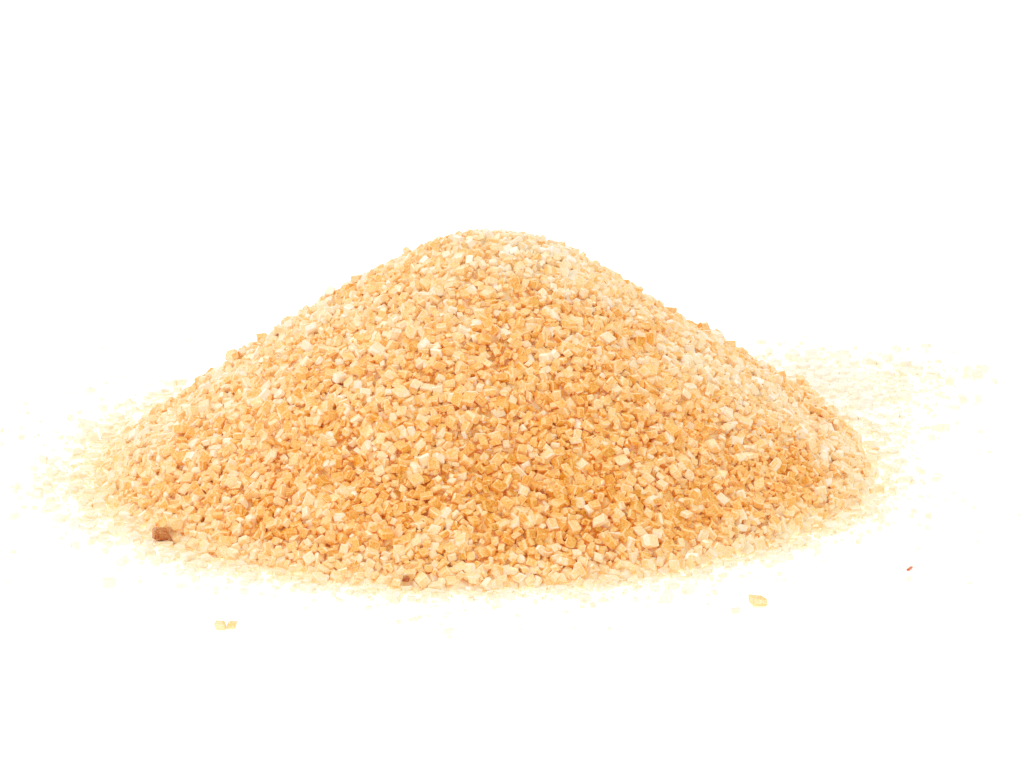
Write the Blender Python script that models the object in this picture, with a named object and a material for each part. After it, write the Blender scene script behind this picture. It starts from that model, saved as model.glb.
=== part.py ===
"""A small heap of raw cane sugar, lying on a table as it was poured.

One solid: a rounded cone at the sugar's angle of repose, on a thin apron of crystals that rolled
off it. Metres, +Z up. The front of the heap faces -Y, and the table is at Z = 0.
"""

import math

import bmesh
import bpy
from mathutils import Vector, noise

# The cone
PEAK_HEIGHT = 0.0243
CROWN_LEFT = 0.16  # how far the peak's rounding reaches, as a share of the way to the foot
CROWN_RIGHT = 0.30  # the crown falls away more gently on this side

# How far the cone reaches from its peak, every 45 degrees from +X towards +Y
CONE_REACH = (0.0403, 0.0438, 0.0414, 0.0390, 0.0384, 0.0377, 0.0384, 0.0377)
# How far the apron of loose crystals reaches past the cone, in the same eight directions
APRON_WIDTH = (0.0020, 0.0090, 0.0054, 0.0058, 0.0047, 0.0031, 0.0018, 0.0022)
# How thick it is where it meets the cone: one crystal or two
APRON_THICKNESS = (0.0010, 0.0016, 0.0012, 0.0010, 0.0009, 0.0009, 0.0009, 0.0009)
APRON_EDGE = 0.0003  # what is left of that at its outline
APRON_THINNING = 8  # the higher, the nearer to its outline the apron thins
TOE_BLEND = 0.0006  # how softly the cone's slope runs into the apron

# Unevenness: (how far apart the swells are, how high they stand)
SWELLS = ((0.0125, 0.00085), (0.0048, 0.00045))
SWELLS_FULL_AT = 0.0060  # above this height the swells have their full size
OUTLINE_WAVE = 0.0110  # how far apart the bays of the apron's outline are
OUTLINE_BAY = 0.0012  # how deep they are

SEGMENTS = 96
RINGS = 30

SUGAR_COLOUR = (0.86, 0.55, 0.22, 1.0)
SUGAR_ROUGHNESS = 0.55


def clear_scene():
    for thing in list(bpy.data.objects):
        bpy.data.objects.remove(thing, do_unlink=True)


def around(values, direction):
    """The value in a direction, eased between the values given for equally spaced directions."""
    place = direction / math.tau % 1.0 * len(values)
    first = int(place) % len(values)
    second = (first + 1) % len(values)
    ease = 0.5 - 0.5 * math.cos(math.pi * (place - int(place)))
    return values[first] * (1.0 - ease) + values[second] * ease


def cone_height(distance, direction):
    """Height of the rounded cone, at a distance from its peak."""
    right = 0.5 + 0.5 * math.cos(direction)
    crown = CROWN_LEFT * (1.0 - right) + CROWN_RIGHT * right
    share = distance / around(CONE_REACH, direction)
    fall = (math.hypot(share, crown) - crown) / (math.hypot(1.0, crown) - crown)
    return PEAK_HEIGHT * max(0.0, 1.0 - fall)


def apron_height(share, direction):
    """Thickness of the apron, at a share of the way from the peak to the outline."""
    thickness = around(APRON_THICKNESS, direction)
    return APRON_EDGE + (thickness - APRON_EDGE) * (1.0 - share**APRON_THINNING)


def swell(x, y, height):
    """What the swells add. They die out towards the thin apron."""
    total = 0.0
    for layer, (spacing, rise) in enumerate(SWELLS):
        total += rise * noise.noise(Vector((x / spacing, y / spacing, layer)))
    return total * min(1.0, height / SWELLS_FULL_AT)


def higher_of(first, second, blend):
    """The higher of two heights, rounded where they cross."""
    return (first + second + math.hypot(first - second, blend)) / 2.0


def outline_reach(direction):
    """How far the apron reaches from the peak."""
    reach = around(CONE_REACH, direction) + around(APRON_WIDTH, direction)
    turn = Vector((math.cos(direction), math.sin(direction), 0.0)) * reach / OUTLINE_WAVE
    return reach + OUTLINE_BAY * noise.noise(turn)


def surface_point(share, direction):
    """A point of the heap's top side, at a share of the way from the peak to the outline."""
    distance = share * outline_reach(direction)
    x = distance * math.cos(direction)
    y = distance * math.sin(direction)
    cone = cone_height(distance, direction)
    height = higher_of(cone, apron_height(share, direction), TOE_BLEND * (1.0 - share))
    return Vector((x, y, height + swell(x, y, height)))


def heap_mesh():
    """The closed mesh: rings of the top side, a thin edge, and a flat underside."""
    work = bmesh.new()
    directions = [math.tau * step / SEGMENTS for step in range(SEGMENTS)]
    peak = work.verts.new(surface_point(0.0, 0.0))
    rings = []
    for ring in range(1, RINGS + 1):
        points = [surface_point(ring / RINGS, direction) for direction in directions]
        rings.append([work.verts.new(point) for point in points])
    rings.append([work.verts.new((corner.co.x, corner.co.y, 0.0)) for corner in rings[-1]])
    for step in range(SEGMENTS):
        following = (step + 1) % SEGMENTS
        work.faces.new((peak, rings[0][step], rings[0][following]))
        for inner, outer in zip(rings, rings[1:]):
            work.faces.new((inner[step], outer[step], outer[following], inner[following]))
    work.faces.new(list(reversed(rings[-1])))
    centre_on_origin(work)
    mesh = bpy.data.meshes.new("sugar_heap")
    work.to_mesh(mesh)
    work.free()
    return mesh


def centre_on_origin(work):
    """Moves the mesh so that the middle of its footprint is at the origin."""
    across = [corner.co.x for corner in work.verts]
    along = [corner.co.y for corner in work.verts]
    middle = Vector((min(across) + max(across), min(along) + max(along), 0.0)) / 2.0
    bmesh.ops.translate(work, vec=-middle, verts=work.verts)


def sugar_material():
    material = bpy.data.materials.new("raw cane sugar")
    material.use_nodes = True
    shader = material.node_tree.nodes["Principled BSDF"]
    shader.inputs["Base Color"].default_value = SUGAR_COLOUR
    shader.inputs["Roughness"].default_value = SUGAR_ROUGHNESS
    shader.inputs["Metallic"].default_value = 0.0
    return material


def main():
    clear_scene()
    mesh = heap_mesh()
    mesh.materials.append(sugar_material())
    mesh.shade_smooth()
    mesh.set_sharp_from_angle(angle=math.radians(60.0))
    bpy.context.collection.objects.link(bpy.data.objects.new("sugar_heap", mesh))


if __name__ == "__main__":
    main()
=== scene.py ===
import math

import bpy
import numpy as np
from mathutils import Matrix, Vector, noise
from mathutils.bvhtree import BVHTree
from mathutils.kdtree import KDTree


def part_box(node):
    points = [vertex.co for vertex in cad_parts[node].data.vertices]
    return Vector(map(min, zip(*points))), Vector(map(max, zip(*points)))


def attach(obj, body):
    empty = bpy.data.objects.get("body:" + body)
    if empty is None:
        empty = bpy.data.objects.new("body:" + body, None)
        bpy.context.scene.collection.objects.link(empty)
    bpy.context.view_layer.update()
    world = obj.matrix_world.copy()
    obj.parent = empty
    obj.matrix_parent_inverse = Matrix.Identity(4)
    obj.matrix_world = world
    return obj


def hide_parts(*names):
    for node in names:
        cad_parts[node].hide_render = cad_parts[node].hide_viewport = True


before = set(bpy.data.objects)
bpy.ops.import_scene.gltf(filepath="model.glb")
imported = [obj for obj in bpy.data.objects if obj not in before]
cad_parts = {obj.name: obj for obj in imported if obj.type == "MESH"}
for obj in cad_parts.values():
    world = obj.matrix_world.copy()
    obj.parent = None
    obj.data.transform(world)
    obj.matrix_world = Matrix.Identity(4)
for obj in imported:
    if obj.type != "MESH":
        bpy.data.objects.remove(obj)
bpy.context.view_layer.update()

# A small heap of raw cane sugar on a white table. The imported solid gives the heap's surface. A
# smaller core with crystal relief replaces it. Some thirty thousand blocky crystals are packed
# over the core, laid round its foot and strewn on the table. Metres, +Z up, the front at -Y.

SEED = 20240611

# The crystals' sizes
CRYSTAL_LENGTH = 0.00088  # mean of the longest side
LENGTH_SPREAD = 0.27  # standard deviation, as a share of the mean
SHORTEST, LONGEST = 0.00040, 0.00135
WIDTH_RANGE = (0.58, 1.00)  # of the length
DEPTH_RANGE = (0.48, 0.85)  # of the length
SOLID_SHARE = 0.84  # what the cut edges and corners leave of a block
FRAGMENT_SCALE = (0.30, 0.62)  # a broken crystal's size beside a whole one's
SAMPLE = 4000  # how many crystals are drawn to learn their mean size

# Their shapes: the cuts along the edges, as shares of the thinnest side's half
WORN_CUT = (0.14, 0.36)
BROAD_CUT = (0.45, 0.85)
BROAD_SHARE = 0.25  # the share of the edges that have the broad cut
PLAIN_WEAR = (0.8, 1.0)  # how far out a plain block's corners stand, beside sharp ones
LEAN = 0.17  # how far a block usually leans out of square, as the slope of a side
POINT_SHIFT = 0.04  # how far its points are usually moved, as a share of its least half

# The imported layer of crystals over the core
LAYER = 0.0011  # how thick it is
STEEPEST = 1.5  # no slope makes it more than this much thicker, measured upright
FILLED = 1.45  # the crystals' volumes beside the layer's: more than 1, as they overlap a little
GRID_LAYERS = 4  # their first places are even, by a grid of cells in so many layers
SUNK_RANGE = (0.38, 1.00)  # the outer crystals' centres lie this many radii under the surface
PERCHED_SHARE = 0.06  # some crystals lie loose on the others
PERCHED_RANGE = (-0.60, 0.10)  # with their centres this many radii under the surface
CORE_DEPTH = 0.00082  # how far the core lies under the heap's surface
BURIED_DEPTH = 0.00062  # crystals deeper than this hardly show
DENSE_HEIGHT = 0.0012  # where the heap is lower, its crystals lie one deep on the table
CLUMPS = ((0.0032, 0.00040), (0.0080, 0.00030))  # how far apart the clumps are, how high
CLUMPS_GROWTH = 0.0040  # they grow to their full height over this much of the heap's height,
CLUMPS_START = 0.3  # starting at this share of it

# How overlapping crystals are pushed apart
SETTLE_ROUNDS = 60
TOUCHING = 0.78  # crystals nest closer than balls of their volume, by this share
PUSH = 0.35  # each of the two moves by this share of their overlap in a round
ODD_PUSH = 0.4  # the odd crystals count as smaller, by this share, as they lie on top
PAIRS_KEPT = 3  # rounds before the neighbours are looked up again
PAIRS_REACH = 2.2  # how far apart they are looked for, in radii of the largest crystal
PAIRS_CLOSE = 1.3  # how near they have to be to count, beside touching
LYING_HEIGHT = 0.75  # of its radius, the height of a lying crystal's centre
HIGHEST_LYING = 2.6  # how many times as high it may be, where crystals lie on each other

# Loose crystals on the table, as shares of the table that they cover
APRON_COVER_INSIDE, APRON_COVER_OUTLINE = 1.00, 0.28
NEAR_STRAY_COVER, NEAR_STRAY_REACH = 0.12, 0.0020
FAR_STRAY_COVER, FAR_STRAY_REACH = 0.012, 0.0100
TONGUE_PLACE, TONGUE_REACH = (0.038, 0.031), 0.009  # a tongue of more of them
TONGUE_COVER = 0.90
TABLE_TRIES = 2.0  # the places that are tried on the table cover it this many times
FRAGMENTS_IN_HEAP = 0.36  # the share of the heap's crystals that are broken ones
FRAGMENTS_ON_TABLE = 0.82

# How the crystals lie: the usual tilt of their flat side from the surface under them
HEAP_TILT = math.radians(38.0)
TABLE_TILT = math.radians(9.0)
TILT_EACH_WAY = 0.7  # the share of a tilt along each of two axes

# Colour: what a usual crystal lets out of white light. A denser one lets out a higher power of it.
SUGAR_COLOUR = np.array((0.958, 0.558, 0.170))
GAP_LIGHT_COLOUR = np.array((0.970, 0.590, 0.075))  # painted light deep in the layer: the amber of light that has come through the crystals above
RED_POWER = 3.0  # how steeply the red is lost in denser sugar
DEEP_POWER = 1.5  # painted light: pale sugar is painted paler deep in the layer, where light comes from all round
DENSITY_SPREAD = 0.08  # from crystal to crystal of one kind
FACE_DENSITY_SPREAD = 0.06  # from face to face of one crystal
POINT_DENSITY_SPREAD = 0.10  # from point to point of one crystal, as light gathers inside it
CUT_HIGHLIGHT_DENSITY = 0.64  # painted highlight: the cut edges are paler than the sides
PAINTED_GLINT_SHARE, PAINTED_GLINT_DENSITY = 0.025, 0.50  # painted glints: some faces are pale, as if they caught the light
MIDDLE_LIT_DENSITY, EDGE_SHADE_DENSITY = 1.02, 1.16  # painted light in the middle of a crystal's side, painted shade at its corners
MIDDLE_AWAY, CORNER_AWAY = 0.85, 1.65  # how far from its middle these are, in its halves
MIDDLE_SHIFT = 0.30  # how far its painted pale middle usually lies off its own, as a share of its half
LEAST_DENSITY = 0.05  # of any point
PATCH_SPACING, PATCH_STRENGTH = 0.0045, 0.20  # of denser and paler patches
CROWN_PAINTED_LIGHT_DENSITY = 0.68  # painted light: the crown is paler than the flanks, as light comes through it
CROWN_FROM, CROWN_TO = 0.009, 0.020  # the height where it begins, and where it is full
RIM_PAINTED_LIGHT_DENSITY = 0.41  # density of the thin sugar round the foot, painted paler as the table's light comes through it
STRAY_PAINTED_LIGHT_DENSITY = 0.155  # density of single crystals on the table, painted pale as light comes through them from all sides
TONGUE_PAINTED_LIGHT_DENSITY = 0.64  # density of the tongue's crystals beside the others on the table, painted paler as light comes through them
THIN_FROM, THIN_TO = 0.0034, 0.0009  # the heap's height where painted light through the thin sugar begins, and where it is full
THIN_GAP_LIGHT = 0.25  # how much of the painted gap light's amber the thin sugar has

# Broad painted light and shade, as the photograph shows them: place in plan, how far each reaches,
# density
PAINTED_LIGHT_TONES = (
    (-0.030, -0.003, 0.014, 0.54),  # painted light: the left flank is paler
    (0.029, -0.005, 0.013, 0.55),  # painted light on the right one too, towards the back
    (0.004, -0.003, 0.0075, 0.60),  # painted light: the peak is paler than the crown round it
    (-0.010, -0.001, 0.005, 1.12),
    (0.008, -0.015, 0.009, 1.30),  # painted shade: the middle is denser
    (-0.004, -0.018, 0.005, 1.12),
    (-0.020, -0.021, 0.006, 0.90),
    (0.010, -0.032, 0.007, 1.22),
    (-0.006, -0.032, 0.006, 1.16),
    (0.031, -0.017, 0.004, 1.34),
)

# Kinds of crystals: name, share of the heap's outer crystals, density of colour
KINDS = (
    ("crystals_pale", 0.18, 0.47),
    ("crystals_straw", 0.25, 0.75),
    ("crystals_golden", 0.26, 0.96),
    ("crystals_honey", 0.20, 1.15),
    ("crystals_amber", 0.11, 1.35),
)
SMALL_DENSITY = 0.86  # of the broken crystals
# Painted light: buried crystals are paler, as if light filled the gaps they show through.
BURIED_PAINTED_LIGHT_DENSITY = 0.58

# Odd crystals round the foot, which lie on top: place in plan, the three sizes, colour
ODD_CRYSTALS = (
    (-0.0295, -0.0268, (0.0014, 0.0012, 0.0011), (0.58, 0.21, 0.050)),
    (-0.0282, -0.0262, (0.0013, 0.0011, 0.0010), (0.97, 0.68, 0.31)),
    (0.0250, -0.0442, (0.0014, 0.0011, 0.0008), (0.98, 0.72, 0.33)),
    (-0.0222, -0.0505, (0.0009, 0.0008, 0.0007), (0.98, 0.78, 0.42)),
    (-0.0212, -0.0503, (0.0008, 0.0007, 0.0006), (0.98, 0.76, 0.40)),
    (0.0395, -0.0338, (0.0009, 0.00025, 0.0002), (0.75, 0.22, 0.06)),
    (-0.0063, -0.0402, (0.0006, 0.0005, 0.0004), (0.50, 0.13, 0.03)),
)
ODD_DENSITY_RANGE = (0.7, 1.3)  # their colours are raised to such powers, from point to point

# The core
CORE_RIM_HEIGHT = 0.0024  # the heap's height where the core ends under its cover
CORE_LEAST_HEIGHT = 0.0001  # of its top side
CORE_REACHES = (0.010, 0.070, 0.0002)  # the reaches that are tried for it: from, to, step
CORE_SEGMENTS = 320
CORE_RINGS = 84
CORE_DENSITY = 0.74
CORE_DENSITY_RANGE = (0.8, 1.2)  # from face to face, beside that
FACET_SPACING = 0.00085  # of its relief's facets
FACET_MIDDLE = (0.1, 0.9)  # where in its cell of a grid the middle of a facet may lie
FACET_TILT = 0.45  # their usual slope
FACET_RISE = 0.00035  # how far they lie higher or lower

# The sugar's finish
SUGAR_IOR = 1.54
GLOSS = 0.30
ROUGHNESS = (0.12, 0.40)  # of the crystals that show, from glossy to frosted patches
BURIED_ROUGHNESS = (0.35, 0.60)
FROST_SCALE, FROST_DETAIL = 900.0, 2.0  # of the noise between the two
CLOUDINESS = 0.45  # how much the density varies inside a crystal
CLOUD_SCALE, CLOUD_DETAIL = 6000.0, 3.0  # of the noise that varies it
NOISE_SPAN = (0.3, 0.7)  # nearly all of a noise's values lie between these

# The table and the light
TABLE_SIZE = 6.0
TABLE_COLOUR = (0.9, 0.9, 0.9, 1.0)
TABLE_GLOW = 0.35  # what it gives beyond the light that falls on it
TABLE_ROUGHNESS = (0.5, 0.6)
TABLE_SCALE, TABLE_DETAIL = 40.0, 3.0  # of the noise between the two
WHITE = (1.0, 1.0, 1.0, 1.0)
KEY_PLACE, KEY_SIZE, KEY_POWER = (-0.35, 0.15, 0.80), 0.30, 2.0  # above, to the left
SKY_STRENGTH = 0.92  # of the white light from all round
BOUNCES = 24  # light goes from crystal to crystal many times before it leaves the heap

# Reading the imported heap's surface
GRID_SPACING = 0.0004
GRID_MARGIN = 0.0115
GRID_END = 1.001  # what is read stays this many steps short of the grid's last line
RAY_START = 0.01  # how far above the heap the rays that measure it start

# The camera, as in the photograph
CAMERA_ELEVATION = math.radians(15.2)
CAMERA_DISTANCE = 0.381
CAMERA_AIM = Vector((0.0032, 0.0, 0.0084))
CAMERA_LENS, CAMERA_SENSOR = 135.0, 36.0  # in mm


# ---------------------------------------------------------------- the heap's surface

class Surface:
    """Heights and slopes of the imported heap, read from a grid laid over its footprint."""

    def __init__(self, node):
        low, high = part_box(node)
        self.start = np.array((low.x - GRID_MARGIN, low.y - GRID_MARGIN))
        steps = np.ceil((np.array((high.x, high.y)) + GRID_MARGIN - self.start) / GRID_SPACING)
        self.steps = steps.astype(int) + 1
        self.heights = self.measure(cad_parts[node], high.z + RAY_START)
        self.heights += self.clumps()
        self.slopes = np.stack(np.gradient(self.heights, GRID_SPACING), axis=-1)
        self.peak = self.start + np.array(
            np.unravel_index(np.argmax(self.heights), self.heights.shape)) * GRID_SPACING

    def measure(self, solid, above):
        """The solid's height at each point of the grid, and none beside it."""
        points = [corner.co for corner in solid.data.vertices]
        faces = [list(face.vertices) for face in solid.data.polygons]
        tree = BVHTree.FromPolygons(points, faces)
        down = Vector((0.0, 0.0, -1.0))
        heights = np.zeros(self.steps)
        for column in range(self.steps[0]):
            x = self.start[0] + column * GRID_SPACING
            for row in range(self.steps[1]):
                y = self.start[1] + row * GRID_SPACING
                hit = tree.ray_cast(Vector((x, y, above)), down)[0]
                if hit is not None:
                    heights[column, row] = hit.z
        return heights

    def clumps(self):
        """Low clumps and hollows, which die out towards the thin foot."""
        rise = np.zeros(self.steps)
        for column in range(self.steps[0]):
            for row in range(self.steps[1]):
                if self.heights[column, row] > DENSE_HEIGHT:
                    place = Vector((column, row, 0.0)) * GRID_SPACING
                    for spacing, height in CLUMPS:
                        rise[column, row] += height * noise.noise(place / spacing)
        return rise * np.clip(self.heights / CLUMPS_GROWTH - CLUMPS_START, 0.0, 1.0)

    def read(self, grid, places):
        """The grid's values at places in plan, eased between its points."""
        spot = (places[:, :2] - self.start) / GRID_SPACING
        spot = np.clip(spot, 0.0, self.steps - GRID_END)
        column, row = spot.astype(int).T
        share = spot - np.floor(spot)
        if grid.ndim == 3:
            share = share[:, :, None]
        near = grid[column, row] * (1 - share[:, 0]) + grid[column + 1, row] * share[:, 0]
        far = grid[column, row + 1] * (1 - share[:, 0]) + grid[column + 1, row + 1] * share[:, 0]
        return near * (1 - share[:, 1]) + far * share[:, 1]

    def height(self, places):
        return self.read(self.heights, places)

    def normal(self, places):
        slope = self.read(self.slopes, places)
        normal = np.column_stack((-slope, np.ones(len(places))))
        return normal / np.linalg.norm(normal, axis=1, keepdims=True)

    def depth(self, places):
        """How far under the surface places lie, square to it."""
        return (self.height(places) - places[:, 2]) * self.normal(places)[:, 2]

    def distance_to_rim(self, height, places):
        """How far in plan places lie from where the heap is this high."""
        inside = self.heights > height
        rim = inside & ~(np.roll(inside, 1, 0) & np.roll(inside, -1, 0)
                         & np.roll(inside, 1, 1) & np.roll(inside, -1, 1))
        points = self.start + np.argwhere(rim) * GRID_SPACING
        tree = KDTree(len(points))
        for number, point in enumerate(points):
            tree.insert((*point, 0.0), number)
        tree.balance()
        return np.array([tree.find((*place, 0.0))[2] for place in places[:, :2]])

    def on_plan(self, shares):
        """Places in plan, from shares of the way along and across the grid."""
        return self.start + shares * (self.steps - 1) * GRID_SPACING

    def area(self):
        return float(np.prod((self.steps - 1) * GRID_SPACING))


# ---------------------------------------------------------------- sizes and places

def crystal_sizes(rng, count):
    length = rng.normal(CRYSTAL_LENGTH, CRYSTAL_LENGTH * LENGTH_SPREAD, count)
    length = np.clip(length, SHORTEST, LONGEST)
    width = length * rng.uniform(*WIDTH_RANGE, count)
    depth = np.minimum(length * rng.uniform(*DEPTH_RANGE, count), width)
    return np.column_stack((length, width, depth))


def broken_up(rng, sizes, share):
    """The sizes with some of them made smaller, and which those are."""
    broken = rng.random(len(sizes)) < share
    scale = np.where(broken, rng.uniform(*FRAGMENT_SCALE, len(sizes)), 1.0)
    return sizes * scale[:, None], broken


def radius_of(sizes):
    """The radius of a ball of each crystal's volume."""
    return np.cbrt(sizes.prod(axis=1) * SOLID_SHARE * 3.0 / (4.0 * math.pi))


def even_points(rng, cells):
    """Points that fill the unit cube evenly: a random one in each cell of a grid."""
    numbers = np.stack(np.meshgrid(*[np.arange(count) for count in cells]), axis=-1)
    corners = numbers.reshape(-1, 3)
    return (corners + rng.random(corners.shape)) / cells


def heap_places(rng, surface):
    """Places in the layer under the heap's surface, as many as fill it."""
    volume = float(crystal_sizes(rng, SAMPLE).prod(axis=1).mean()) * SOLID_SHARE
    most = surface.area() * LAYER * STEEPEST * FILLED / volume
    side = int(math.sqrt(most / GRID_LAYERS))
    spots = even_points(rng, (side, side, GRID_LAYERS))
    plan = surface.on_plan(spots[:, :2])
    height = surface.height(plan)
    thick = np.minimum(height, LAYER / surface.normal(plan)[:, 2])
    keep = (height > DENSE_HEIGHT) & (spots[:, 2] < thick / (LAYER * STEEPEST))
    z = height - spots[:, 2] * LAYER * STEEPEST
    return np.column_stack((plan, z))[keep]


def fading(places, middle, reach):
    """A share that fades from 1 at a point in plan, over this reach."""
    return np.exp(-(np.linalg.norm(places[:, :2] - middle, axis=1) / reach) ** 2)


def table_places(rng, surface):
    """Random places on the table for the apron and the strays beyond it, and their densities with
    painted light.
    """
    sizes, _ = broken_up(rng, crystal_sizes(rng, SAMPLE), FRAGMENTS_ON_TABLE)
    most = int(TABLE_TRIES * surface.area() / float(sizes[:, :2].prod(axis=1).mean()))
    plan = surface.on_plan(rng.random((most, 2)))
    height = surface.height(plan)
    from_dense = surface.distance_to_rim(DENSE_HEIGHT, plan)
    from_outline = surface.distance_to_rim(0.0, plan)
    out = from_dense / (from_dense + from_outline + 1e-9)  # the sum may be 0
    apron = APRON_COVER_INSIDE + (APRON_COVER_OUTLINE - APRON_COVER_INSIDE) * out
    near = NEAR_STRAY_COVER * np.exp(-from_outline / NEAR_STRAY_REACH)
    far = FAR_STRAY_COVER * np.exp(-from_outline / FAR_STRAY_REACH)
    tongue = fading(plan, TONGUE_PLACE, TONGUE_REACH)
    cover = np.where(height > 0.0, apron, near + far) + TONGUE_COVER * tongue
    keep = (height <= DENSE_HEIGHT) & (rng.random(most) < cover / TABLE_TRIES)
    places = np.column_stack((plan, np.zeros(most)))
    # Painted light: thin sugar near the foot and single crystals beyond it are paler.
    density = STRAY_PAINTED_LIGHT_DENSITY + (RIM_PAINTED_LIGHT_DENSITY - STRAY_PAINTED_LIGHT_DENSITY) * (1.0 - out) * (height > 0.0)
    density *= 1.0 - (1.0 - TONGUE_PAINTED_LIGHT_DENSITY) * tongue
    return places[keep], density[keep]


# ---------------------------------------------------------------- packing

def neighbour_pairs(places, reach):
    """Pairs of points that may be nearer to each other than reach, from a grid of such cells."""
    cells = np.floor((places - places.min(axis=0)) / reach).astype(np.int64) + 1
    size = cells.max(axis=0) + 2
    strides = np.array((size[1] * size[2], size[2], 1))
    keys = cells @ strides
    order = np.argsort(keys, kind="stable")
    keys = keys[order]
    every = np.arange(len(keys))
    steps = np.stack(np.meshgrid((-1, 0, 1), (-1, 0, 1), (-1, 0, 1)), -1).reshape(-1, 3)
    firsts, seconds = [], []
    for offset in steps @ strides:
        if offset < 0:
            continue
        begin = np.searchsorted(keys, keys + offset, "left")
        end = np.searchsorted(keys, keys + offset, "right")
        if offset == 0:
            begin = every + 1
        count = np.maximum(end - begin, 0)
        run = np.arange(count.sum()) - np.repeat(np.cumsum(count) - count, count)
        firsts.append(np.repeat(every, count))
        seconds.append(run + np.repeat(begin, count))
    return order[np.concatenate(firsts)], order[np.concatenate(seconds)]


def settle(surface, places, radii, ceiling, in_heap, held):
    """Pushes overlapping crystals apart, within the heap's layer or down on the table.

    No crystal of the heap lies nearer to its surface than its ceiling, and the held ones stay.
    """
    count = len(places)
    lying = radii * LYING_HEIGHT
    held_places = places[held]
    for step in range(SETTLE_ROUNDS):
        if step % PAIRS_KEPT == 0:
            first, second = neighbour_pairs(places, PAIRS_REACH * radii.max())
            near = np.linalg.norm(places[first] - places[second], axis=1)
            close = near < (radii[first] + radii[second]) * PAIRS_CLOSE
            first, second = first[close], second[close]
        between = places[first] - places[second]
        distance = np.linalg.norm(between, axis=1) + 1e-12  # never 0
        overlap = np.maximum(0.0, radii[first] + radii[second] - distance)
        push = between * (PUSH * overlap / distance)[:, None]
        for axis in range(3):
            places[:, axis] += np.bincount(first, push[:, axis], count)
            places[:, axis] -= np.bincount(second, push[:, axis], count)
        depth = surface.depth(places)
        wanted = np.clip(depth, ceiling, np.maximum(LAYER, ceiling))
        places += surface.normal(places) * np.where(in_heap, depth - wanted, 0.0)[:, None]
        height = np.maximum(places[:, 2], lying)
        places[:, 2] = np.where(in_heap, height, np.minimum(height, HIGHEST_LYING * lying))
        places[held] = held_places
    return places


def turns(rng, normals, tilt):
    """Rotations that lay each crystal's thinnest side along a normal, give or take a tilt."""
    count = len(normals)
    up = normals + rng.normal(0.0, TILT_EACH_WAY, (count, 3)) * np.tan(tilt)[:, None]
    up /= np.linalg.norm(up, axis=1, keepdims=True)
    side = np.cross(up, rng.normal(0.0, 1.0, (count, 3)))
    side /= np.linalg.norm(side, axis=1, keepdims=True)
    return np.stack((side, np.cross(up, side), up), axis=-1)


# ---------------------------------------------------------------- the shape of a crystal

def corner_signs(corner):
    """On which side of a block's middle one of its eight corners lies, along each axis."""
    return [1 if corner >> axis & 1 else -1 for axis in range(3)]


def edge_number(axis, sign, other, other_sign):
    """The number of the edge between two faces of a block."""
    if axis > other:
        axis, sign, other, other_sign = other, other_sign, axis, sign
    return (axis + other - 1) * 4 + (sign > 0) * 2 + (other_sign > 0)


def block_points(halves, cuts):
    """The 24 points of each block: half sizes (n, 3), and how far its 12 edges are cut (n, 12).

    The point numbered axis * 8 + corner lies on the face across that axis, at that corner.
    """
    points = np.empty((len(halves), 24, 3))
    for axis in range(3):
        for corner in range(8):
            signs = corner_signs(corner)
            points[:, axis * 8 + corner, axis] = signs[axis] * halves[:, axis]
            for other in {0, 1, 2} - {axis}:
                cut = cuts[:, edge_number(axis, signs[axis], other, signs[other])]
                points[:, axis * 8 + corner, other] = signs[other] * (halves[:, other] - cut)
    return points


def block_faces():
    """The 26 faces of such a block: 6 sides, 12 cut edges and 8 cut corners.

    A corner's number has one binary digit for each axis: 1 << axis is 1 on that axis only.
    """
    faces = [[axis * 8 + corner for axis in range(3)] for corner in range(8)]
    for axis in range(3):
        one, two = 1 << (axis + 1) % 3, 1 << (axis + 2) % 3
        for side in (0, 1 << axis):
            faces.append([axis * 8 + side + turn for turn in (0, one, one + two, two)])
        for pair in (0, one, two, one + two):
            first, second = (axis + 1) % 3 * 8 + pair, (axis + 2) % 3 * 8 + pair
            faces.append([first, first + (1 << axis), second + (1 << axis), second])
    return faces


def box_points(halves):
    """The 8 corners of each block, by their numbers."""
    return np.stack([np.array(corner_signs(corner)) * halves for corner in range(8)], axis=1)


def box_faces():
    """The 6 sides of a plain block."""
    faces = []
    for axis in range(3):
        one, two = 1 << (axis + 1) % 3, 1 << (axis + 2) % 3
        faces += [[side + turn for turn in (0, one, one + two, two)] for side in (0, 1 << axis)]
    return faces


def outward(faces, points):
    """The faces, each turned so that it faces away from the origin."""
    turned = []
    for face in faces:
        first, second, third = points[face[:3]]
        away = np.dot(np.cross(second - first, third - first), points[face].mean(axis=0)) > 0
        turned.append(face if away else face[::-1])
    return turned


# Faces are turned by the points of one such block. Any cut will do for that.
CRYSTAL_FACES = outward(block_faces(), block_points(np.ones((1, 3)), np.full((1, 12), 0.2))[0])
PLAIN_FACES = outward(box_faces(), box_points(np.ones((1, 3)))[0])


def uneven(rng, points, halves):
    """Leans each block a little, and moves its points by a trace."""
    count = len(points)
    lean = np.tile(np.eye(3), (count, 1, 1))
    for row, column in ((0, 2), (0, 1), (1, 2)):
        lean[:, row, column] = rng.normal(0.0, LEAN, count)
    points = np.einsum("nij,nkj->nki", lean, points)
    least = halves.min(axis=1)[:, None, None]
    return points + rng.normal(0.0, POINT_SHIFT, points.shape) * least


def crystal_points(rng, sizes):
    """Blocks with worn edges and, on some edges, a broad cut, and the points' places within."""
    count = len(sizes)
    halves = sizes / 2.0
    worn = rng.uniform(*WORN_CUT, (count, 12))
    broad = rng.uniform(*BROAD_CUT, (count, 12))
    cuts = np.where(rng.random((count, 12)) < BROAD_SHARE, broad, worn)
    points = block_points(halves, cuts * halves.min(axis=1, keepdims=True))
    return uneven(rng, points, halves), points / halves[:, None, :]


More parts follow.
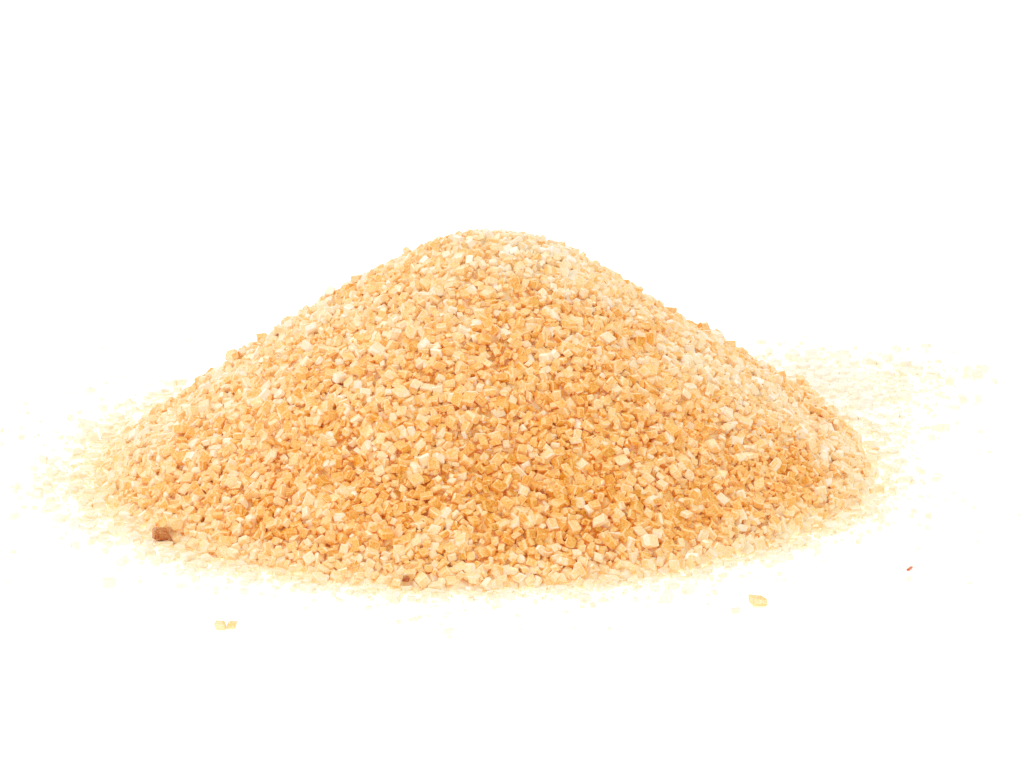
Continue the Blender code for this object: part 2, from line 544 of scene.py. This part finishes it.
def plain_points(rng, sizes):
    """Plain blocks, for small crystals and those that hardly show, and the places within."""
    halves = sizes / 2.0
    points = box_points(halves)
    worn = points * rng.uniform(*PLAIN_WEAR, (len(sizes), 8, 1))
    return uneven(rng, worn, halves), points / halves[:, None, :]


# ---------------------------------------------------------------- meshes

def colour_corners(mesh, colours):
    """Stores a tint for each corner of each face."""
    layer = mesh.attributes.new("tint", "FLOAT_COLOR", "CORNER")
    with_alpha = np.ones((len(mesh.loops), 4), np.float32)
    with_alpha[:, :3] = colours.reshape(-1, 3)
    layer.data.foreach_set("color", with_alpha.ravel())


def is_cut(face):
    """Whether a face of a block is a cut edge or corner, not one of its sides."""
    return len({point // 8 for point in face}) > 1


def joined_mesh(name, points, within, faces, tints):
    """One mesh of many like shapes.

    It takes their points (n, k, 3), where each point is within its own shape from -1 to 1, the
    faces of one shape, and tints at the faces' corners.
    """
    count, each = points.shape[:2]
    sides = np.array([len(face) for face in faces])
    corners = np.concatenate(faces)
    shift = np.arange(count)[:, None]
    mesh = bpy.data.meshes.new(name)
    mesh.vertices.add(count * each)
    mesh.vertices.foreach_set("co", points.astype(np.float32).ravel())
    mesh.loops.add(count * len(corners))
    mesh.loops.foreach_set("vertex_index", (corners + shift * each).astype(np.int32).ravel())
    starts = np.cumsum(sides) - sides + shift * len(corners)
    mesh.polygons.add(count * len(faces))
    mesh.polygons.foreach_set("loop_start", starts.astype(np.int32).ravel())
    mesh.update(calc_edges=True)
    mesh.shade_flat()
    layer = mesh.attributes.new("within", "FLOAT_VECTOR", "POINT")
    layer.data.foreach_set("vector", within.astype(np.float32).ravel())
    colour_corners(mesh, tints)
    return mesh


def add_piece(mesh, material):
    """Adds a mesh to the scene as a piece of the heap."""
    piece = bpy.data.objects.new(mesh.name, mesh)
    bpy.context.scene.collection.objects.link(piece)
    mesh.materials.append(material)
    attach(piece, "root")
    return piece


# ---------------------------------------------------------------- materials

def add_noise(material, scale, detail, low, high):
    """A noise in the object's own space, as values from low to high."""
    nodes, links = material.node_tree.nodes, material.node_tree.links
    place = nodes.new("ShaderNodeTexCoord")
    texture = nodes.new("ShaderNodeTexNoise")
    texture.inputs["Scale"].default_value = scale
    texture.inputs["Detail"].default_value = detail
    links.new(place.outputs["Object"], texture.inputs["Vector"])
    spread = nodes.new("ShaderNodeMapRange")
    spread.inputs["From Min"].default_value, spread.inputs["From Max"].default_value = NOISE_SPAN
    spread.inputs["To Min"].default_value = low
    spread.inputs["To Max"].default_value = high
    links.new(texture.outputs["Fac"], spread.inputs["Value"])
    return spread.outputs["Result"]


def add_painted_edge_shade(material):
    """Each crystal's sides are painted paler in the middle, where most light comes through them,
    and darker at the corners.
    """
    nodes, links = material.node_tree.nodes, material.node_tree.links
    within = nodes.new("ShaderNodeAttribute")
    within.attribute_name = "within"
    from_middle = nodes.new("ShaderNodeVectorMath")
    from_middle.operation = "LENGTH"
    links.new(within.outputs["Vector"], from_middle.inputs[0])
    density = nodes.new("ShaderNodeMapRange")
    density.inputs["From Min"].default_value = MIDDLE_AWAY
    density.inputs["From Max"].default_value = CORNER_AWAY
    density.inputs["To Min"].default_value = MIDDLE_LIT_DENSITY
    density.inputs["To Max"].default_value = EDGE_SHADE_DENSITY
    links.new(from_middle.outputs["Value"], density.inputs["Value"])
    return density.outputs["Result"]


def multiplied(material, first, second):
    """The product of two values of the material's nodes."""
    nodes, links = material.node_tree.nodes, material.node_tree.links
    product = nodes.new("ShaderNodeMath")
    product.operation = "MULTIPLY"
    links.new(first, product.inputs[0])
    links.new(second, product.inputs[1])
    return product.outputs["Value"]


def sugar_material(name, roughness, edged=True):
    """Sugar in each face's tint, which carries painted light and shade, clouded inside, with
    frosted and glossy patches.
    """
    material = bpy.data.materials.new(name)
    material.use_nodes = True
    nodes, links = material.node_tree.nodes, material.node_tree.links
    shader = nodes["Principled BSDF"]
    tint = nodes.new("ShaderNodeAttribute")
    tint.attribute_name = "tint"
    clouded = nodes.new("ShaderNodeGamma")
    cloud = add_noise(material, CLOUD_SCALE, CLOUD_DETAIL, 1.0 - CLOUDINESS, 1.0 + CLOUDINESS)
    if edged:
        cloud = multiplied(material, cloud, add_painted_edge_shade(material))
    links.new(tint.outputs["Color"], clouded.inputs["Color"])
    links.new(cloud, clouded.inputs["Gamma"])
    links.new(clouded.outputs["Color"], shader.inputs["Base Color"])
    frost = add_noise(material, FROST_SCALE, FROST_DETAIL, *roughness)
    links.new(frost, shader.inputs["Roughness"])
    shader.inputs["IOR"].default_value = SUGAR_IOR
    shader.inputs["Specular IOR Level"].default_value = GLOSS
    return material


def table_material():
    """A white table, faintly mottled, that gives back more light than it gets."""
    material = bpy.data.materials.new("white table")
    material.use_nodes = True
    shader = material.node_tree.nodes["Principled BSDF"]
    shader.inputs["Base Color"].default_value = TABLE_COLOUR
    shader.inputs["Emission Color"].default_value = WHITE
    shader.inputs["Emission Strength"].default_value = TABLE_GLOW
    rough = add_noise(material, TABLE_SCALE, TABLE_DETAIL, *TABLE_ROUGHNESS)
    material.node_tree.links.new(rough, shader.inputs["Roughness"])
    return material


def patches_and_painted_light(places):
    """How much denser than usual the colour is at places: broad painted light and shade, and random
    patches.
    """
    factor = np.ones(len(places))
    for x, y, reach, density in PAINTED_LIGHT_TONES:
        factor += (density - 1.0) * fading(places, (x, y), reach)
    factor += [PATCH_STRENGTH * noise.noise(Vector(place)) for place in places / PATCH_SPACING]
    return factor


def thinness(surface, places):
    """How thin the sugar under places is, up to 1 where it is about one crystal deep."""
    return np.clip((THIN_FROM - surface.height(places)) / (THIN_FROM - THIN_TO), 0.0, 1.0)


def toned_with_painted_light(surface, places, density):
    """Densities of colour, with painted light and shade on the heap's crown, flanks and foot, and
    random patches.
    """
    height = surface.height(places)
    crown = np.clip((height - CROWN_FROM) / (CROWN_TO - CROWN_FROM), 0.0, 1.0)
    density = density * patches_and_painted_light(places) * (1.0 - (1.0 - CROWN_PAINTED_LIGHT_DENSITY) * crown)
    return density + (RIM_PAINTED_LIGHT_DENSITY - density) * thinness(surface, places)


def let_out(gap_light, density):
    """What places let out of white light, by their share of the painted gap light's colour and
    their density.
    """
    hue = SUGAR_COLOUR + (GAP_LIGHT_COLOUR - SUGAR_COLOUR) * gap_light[..., None]
    return hue ** np.stack((density**RED_POWER, density, density), axis=-1)


def gap_light_share(deep, thin):
    """How much of the painted gap light's colour a place has: all of it deep in the layer, less at
    the foot.
    """
    return deep + (THIN_GAP_LIGHT - deep) * thin


def lit_in_gaps(density, deep):
    """Densities deep in the layer, up to deep = 1: painted light makes what is pale paler there."""
    return np.minimum(density, density ** (1.0 + DEEP_POWER * deep))


def corner_tints(rng, density, deep, gap_light, faces):
    """A tint for each corner of each face.

    It takes the crystals' densities, how deep in the layer their points are, and how much of the
    painted gap light's colour these have.
    """
    sides = [len(face) for face in faces]
    own = density * rng.normal(1.0, DENSITY_SPREAD, len(density))
    by_point = rng.normal(1.0, POINT_DENSITY_SPREAD, gap_light.shape)
    by_face = rng.normal(1.0, FACE_DENSITY_SPREAD, (len(density), len(faces)))
    # Painted highlight: the cut edges are paler than the sides.
    by_face *= np.where([is_cut(face) for face in faces], CUT_HIGHLIGHT_DENSITY, 1.0)
    # Painted glints: a few faces are made pale.
    by_face[rng.random(by_face.shape) < PAINTED_GLINT_SHARE] = PAINTED_GLINT_DENSITY
    corners = np.concatenate(faces)
    each = own[:, None] * np.repeat(by_face, sides, axis=1) * by_point[:, corners]
    each = lit_in_gaps(np.maximum(each, LEAST_DENSITY), deep[:, corners])
    return let_out(gap_light[:, corners], each)


# ---------------------------------------------------------------- the core

def build_core(surface):
    """The smaller heap under the crystals, with a relief of tilted facets, closed underneath."""
    rng = np.random.default_rng(SEED + 1)
    directions = np.linspace(0.0, math.tau, CORE_SEGMENTS, endpoint=False)
    reach = np.array([core_reach(surface, direction) for direction in directions])
    shares = np.linspace(0.0, 1.0, CORE_RINGS + 1)[1:, None]
    around = np.stack((np.cos(directions), np.sin(directions)), axis=-1) * reach[:, None]
    plan = (surface.peak + shares[:, :, None] * around).reshape(-1, 2)
    plan = np.vstack((plan, surface.peak))
    height = surface.height(plan) - CORE_DEPTH / surface.normal(plan)[:, 2]
    height = np.maximum(height + facet_relief(rng, plan), CORE_LEAST_HEIGHT)
    points = np.column_stack((plan, height))
    rim, peak = (CORE_RINGS - 1) * CORE_SEGMENTS, CORE_RINGS * CORE_SEGMENTS
    every = np.vstack((points, points[rim:peak] * (1.0, 1.0, 0.0)))
    faces = [tuple(range(peak + CORE_SEGMENTS, peak, -1))]
    for step in range(CORE_SEGMENTS):
        following = (step + 1) % CORE_SEGMENTS
        faces.append((peak, step, following))
        for ring in range(0, rim, CORE_SEGMENTS):
            outer = ring + CORE_SEGMENTS
            faces.append((ring + step, outer + step, outer + following, ring + following))
        faces.append((rim + step, peak + 1 + step, peak + 1 + following, rim + following))
    mesh = bpy.data.meshes.new("sugar_core")
    mesh.from_pydata(every.tolist(), [], faces)
    mesh.shade_flat()
    middles = np.array([every[list(face)].mean(axis=0) for face in faces])
    by_face = CORE_DENSITY * rng.uniform(*CORE_DENSITY_RANGE, len(faces))
    by_face = toned_with_painted_light(surface, middles, by_face)
    # The core lies deep in the layer: it gets all of the painted gap light.
    tints = let_out(gap_light_share(1.0, thinness(surface, middles)), lit_in_gaps(by_face, 1.0))
    colour_corners(mesh, np.repeat(tints, [len(face) for face in faces], axis=0))
    piece = add_piece(mesh, sugar_material("sugar core", BURIED_ROUGHNESS, edged=False))
    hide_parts("sugar_heap")


def core_reach(surface, direction):
    """How far the core reaches this way: to where the crystals alone are as thick as the heap."""
    distances = np.arange(*CORE_REACHES)
    ahead = np.array((math.cos(direction), math.sin(direction)))
    plan = surface.peak + distances[:, None] * ahead
    thick = surface.height(plan) > CORE_RIM_HEIGHT
    return distances[np.argmin(thick)]


def facet_relief(rng, plan):
    """Heights of tilted facets, one round each of many seeds, for the places nearest to it."""
    low = plan.min(axis=0) - FACET_SPACING
    cells = np.floor((plan - low) / FACET_SPACING).astype(int)
    size = cells.max(axis=0) + 3
    corners = np.stack(np.meshgrid(np.arange(size[0]), np.arange(size[1]), indexing="ij"), -1)
    seeds = (corners + rng.uniform(*FACET_MIDDLE, (*size, 2))) * FACET_SPACING + low
    tilts = rng.normal(0.0, FACET_TILT, (*size, 2))
    rises = rng.uniform(-FACET_RISE, FACET_RISE, size)
    nearest = np.full(len(plan), np.inf)
    relief = np.zeros(len(plan))
    for across in (-1, 0, 1):
        for along in (-1, 0, 1):
            column = np.clip(cells[:, 0] + across, 0, size[0] - 1)
            row = np.clip(cells[:, 1] + along, 0, size[1] - 1)
            away = plan - seeds[column, row]
            distance = np.linalg.norm(away, axis=1)
            here = rises[column, row] + (away * tilts[column, row]).sum(axis=1)
            relief = np.where(distance < nearest, here, relief)
            nearest = np.minimum(distance, nearest)
    return relief


# ---------------------------------------------------------------- the crystals

HEAP, TABLE, ODD = range(3)


class Crystals:
    """Every crystal's place, size, turn and density of colour, one row of each array for each."""

    def __init__(self, rng, surface):
        self.rng = rng
        self.surface = surface
        heap = heap_places(rng, surface)
        table, table_density = table_places(rng, surface)
        odd = np.array([(x, y, 0.0) for x, y, _, _ in ODD_CRYSTALS])
        group = np.repeat((HEAP, TABLE, ODD), (len(heap), len(table), len(odd)))
        self.in_heap = group == HEAP
        self.on_table = group == TABLE
        self.odd = group == ODD
        share = np.where(self.in_heap, FRAGMENTS_IN_HEAP, FRAGMENTS_ON_TABLE)
        self.sizes, self.broken = broken_up(rng, crystal_sizes(rng, len(group)), share)
        self.sizes[self.odd] = [size for _, _, size, _ in ODD_CRYSTALS]
        self.places = self.packed(np.vstack((heap, table, odd)))
        self.buried = self.in_heap & (surface.depth(self.places) > BURIED_DEPTH)
        self.kinds = rng.choice(len(KINDS), len(group), p=[share for _, share, _ in KINDS])
        self.density = self.densities()
        self.density[self.on_table] = table_density
        normals = np.where(self.in_heap[:, None], surface.normal(self.places), (0.0, 0.0, 1.0))
        self.rotations = turns(rng, normals, np.where(self.in_heap, HEAP_TILT, TABLE_TILT))
        self.resting = np.where(self.odd, surface.height(self.places), 0.0)

    def packed(self, places):
        """The places, once the crystals lie as deep as they should and are pushed apart."""
        radii = radius_of(self.sizes) * TOUCHING
        radii[self.odd] *= ODD_PUSH
        perched = self.in_heap & (self.rng.random(len(places)) < PERCHED_SHARE)
        ceiling = radii * np.where(perched, self.rng.uniform(*PERCHED_RANGE, len(places)),
                                   self.rng.uniform(*SUNK_RANGE, len(places)))
        start = np.where(perched, self.surface.depth(places) - ceiling, 0.0)
        places += self.surface.normal(places) * start[:, None]
        under = self.surface.height(places[self.odd])
        places[self.odd, 2] = under + self.sizes[self.odd, 2] / 2.0
        return settle(self.surface, places, radii, ceiling, self.in_heap, self.odd)

    def densities(self):
        """The heap's densities of colour, by kind and by place, with painted light on the buried
        ones.
        """
        density = np.array([density for _, _, density in KINDS])[self.kinds]
        density[self.broken] = SMALL_DENSITY
        density[self.buried] = BURIED_PAINTED_LIGHT_DENSITY
        return toned_with_painted_light(self.surface, self.places, density)

    def shapes(self, mine, make_points):
        """The points of some of the crystals, none below the table, and their places within."""
        points, within = make_points(self.rng, self.sizes[mine])
        within += self.rng.normal(0.0, MIDDLE_SHIFT, (len(points), 1, 3))
        points = np.einsum("nij,nkj->nki", self.rotations[mine], points)
        points += self.places[mine][:, None, :]
        lowest = points[:, :, 2].min(axis=1)
        drop = np.where(self.in_heap[mine], np.minimum(lowest, 0.0), lowest - self.resting[mine])
        points[:, :, 2] -= drop[:, None]
        return points, within

    def add(self, name, mine, make_points, faces):
        """Adds one piece, of some of the crystals."""
        points, within = self.shapes(mine, make_points)
        depth = self.surface.depth(points.reshape(-1, 3)).reshape(points.shape[:2])
        # Painted light: points deeper in the layer take more of the gap light's amber, and pale
        # ones grow paler.
        deep = np.clip(depth / LAYER, 0.0, 1.0)
        gap_light = gap_light_share(deep, thinness(self.surface, self.places[mine])[:, None])
        tints = corner_tints(self.rng, self.density[mine], deep, gap_light, faces)
        roughness = BURIED_ROUGHNESS if name == "crystals_buried" else ROUGHNESS
        add_piece(joined_mesh(name, points, within, faces, tints),
                  sugar_material("sugar " + name, roughness))

    def add_odd(self):
        """Adds the odd crystals, in the colours listed for them."""
        points, within = self.shapes(self.odd, crystal_points)
        corners = sum(len(face) for face in CRYSTAL_FACES)
        colours = np.array([colour for _, _, _, colour in ODD_CRYSTALS])
        density = self.rng.uniform(*ODD_DENSITY_RANGE, (len(colours), corners, 1))
        tints = colours[:, None, :] ** density
        add_piece(joined_mesh("crystals_odd", points, within, CRYSTAL_FACES, tints),
                  sugar_material("sugar odd", ROUGHNESS))


def build_crystals(surface):
    crystals = Crystals(np.random.default_rng(SEED), surface)
    broken, whole = crystals.broken, ~crystals.broken
    shown = crystals.in_heap & ~crystals.buried
    for number, (name, _, _) in enumerate(KINDS):
        mine = shown & whole & (crystals.kinds == number)
        crystals.add(name, mine, crystal_points, CRYSTAL_FACES)
    crystals.add("crystals_small", shown & broken, plain_points, PLAIN_FACES)
    crystals.add("crystals_buried", crystals.buried, plain_points, PLAIN_FACES)
    crystals.add("crystals_table", crystals.on_table & whole, crystal_points, CRYSTAL_FACES)
    crystals.add("crystals_crumbs", crystals.on_table & broken, plain_points, PLAIN_FACES)
    crystals.add_odd()


# ---------------------------------------------------------------- the stage

def build_floor():
    bpy.ops.mesh.primitive_plane_add(size=TABLE_SIZE)
    floor = bpy.context.object
    floor.name = "floor"
    floor.data.materials.append(table_material())


def add_softbox(name, place, size, power):
    """A square soft light that faces the origin."""
    light = bpy.data.lights.new(name, "AREA")
    light.shape = "SQUARE"
    light.size = size
    light.energy = power
    lamp = bpy.data.objects.new(name, light)
    lamp.location = place
    lamp.rotation_euler = (-Vector(place)).to_track_quat("-Z", "Y").to_euler()
    bpy.context.scene.collection.objects.link(lamp)


def build_lights():
    add_softbox("key", KEY_PLACE, KEY_SIZE, KEY_POWER)
    world = bpy.data.worlds.new("studio")
    bpy.context.scene.world = world
    world.use_nodes = True
    background = world.node_tree.nodes["Background"]
    background.inputs["Color"].default_value = WHITE
    background.inputs["Strength"].default_value = SKY_STRENGTH
    bpy.context.scene.view_settings.view_transform = "Standard"
    bpy.context.scene.cycles.max_bounces = BOUNCES
    bpy.context.scene.cycles.diffuse_bounces = BOUNCES
    bpy.context.scene.cycles.glossy_bounces = BOUNCES


def build_camera():
    camera = bpy.data.cameras.new("camera")
    camera.lens = CAMERA_LENS
    camera.sensor_width = CAMERA_SENSOR
    holder = bpy.data.objects.new("camera", camera)
    towards = Vector((0.0, math.cos(CAMERA_ELEVATION), -math.sin(CAMERA_ELEVATION)))
    holder.location = CAMERA_AIM - towards * CAMERA_DISTANCE
    holder.rotation_euler = towards.to_track_quat("-Z", "Y").to_euler()
    bpy.context.scene.collection.objects.link(holder)
    bpy.context.scene.camera = holder


build_camera()
heap_surface = Surface("sugar_heap")
build_core(heap_surface)
build_crystals(heap_surface)
build_floor()
build_lights()
